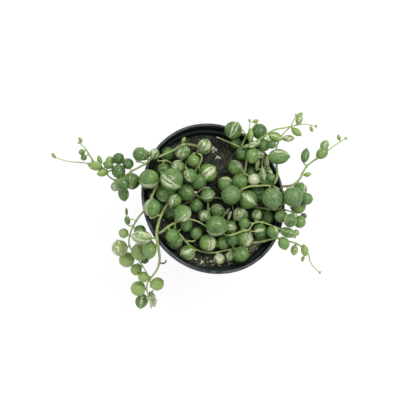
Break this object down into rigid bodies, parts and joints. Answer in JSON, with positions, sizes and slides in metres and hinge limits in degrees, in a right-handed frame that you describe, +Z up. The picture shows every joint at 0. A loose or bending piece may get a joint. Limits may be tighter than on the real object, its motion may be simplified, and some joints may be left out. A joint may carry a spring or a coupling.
{
  "type": "potted string of pearls",
  "caption": "Small tapered nursery pot of a variegated string of pearls: round bead leaves on thin stems that fill the mouth, run out on both sides and trail over one edge.",
  "frame": {"origin": "centre of the pot's flat base", "axes": "+Z up out of the pot, +X the plant's long way with the long bare-tipped runner at -X, +Y away from the side that the two long strands trail over"},
  "size_m": [0.1564, 0.1035, 0.0869],
  "materials": {
    "black_plastic": "satin",
    "potting_mix": "matte",
    "young_stem": "satin",
    "pearl_leaf": "satin"
  },
  "bodies": {
    "root": {"cut_end_pearl_1": "pearl_leaf", "cut_end_pearl_2": "pearl_leaf", "cut_end_pearl_3": "pearl_leaf", "cut_end_stem": "young_stem", "hanging_left_pearl_1": "pearl_leaf", "hanging_left_pearl_2": "pearl_leaf", "hanging_left_pearl_3": "pearl_leaf", "hanging_left_pearl_4": "pearl_leaf", "hanging_left_pearl_5": "pearl_leaf", "hanging_left_pearl_6": "pearl_leaf", "hanging_left_stem": "young_stem", "heart_pearl_1": "pearl_leaf", "heart_pearl_2": "pearl_leaf", "heart_pearl_3": "pearl_leaf", "heart_stem": "young_stem", "junction_pearl_1": "pearl_leaf", "junction_pearl_2": "pearl_leaf", "junction_pearl_3": "pearl_leaf", "junction_stem": "young_stem", "left_runner_pearl_1": "pearl_leaf", "left_runner_stem": "young_stem", "left_second_stem": "young_stem", "left_side_tip_stem": "young_stem", "lower_arc_pearl_1": "pearl_leaf", "lower_arc_pearl_2": "pearl_leaf", "lower_arc_pearl_3": "pearl_leaf", "lower_arc_pearl_4": "pearl_leaf", "lower_arc_pearl_5": "pearl_leaf", "lower_arc_stem": "young_stem", "lower_right_pearl_1": "pearl_leaf", "lower_right_runner_stem": "young_stem", "lower_right_stem": "young_stem", "pale_leaves_stem": "young_stem", "pot": "black_plastic", "right_bank_pearl_1": "pearl_leaf", "right_bank_pearl_2": "pearl_leaf", "right_bank_pearl_3": "pearl_leaf", "right_bank_stem": "young_stem", "right_runner_stem": "young_stem", "right_top_pearl_1": "pearl_leaf", "right_top_pearl_2": "pearl_leaf", "right_top_pearl_3": "pearl_leaf", "right_top_pearl_4": "pearl_leaf", "right_top_pearl_5": "pearl_leaf", "right_top_stem": "young_stem", "right_upright_stem": "young_stem", "soil": "potting_mix", "top_cluster_pearl_1": "pearl_leaf", "top_cluster_pearl_2": "pearl_leaf", "top_cluster_stem": "young_stem", "top_right_arc_stem": "young_stem", "trailer_pearl_1": "pearl_leaf", "trailer_pearl_2": "pearl_leaf", "trailer_stem": "young_stem", "upper_left_pearl_1": "pearl_leaf", "upper_left_pearl_2": "pearl_leaf", "upper_left_pearl_3": "pearl_leaf", "upper_left_pearl_4": "pearl_leaf", "upper_left_pearl_5": "pearl_leaf", "upper_left_stem": "young_stem"}
  },
  "joints": []
}
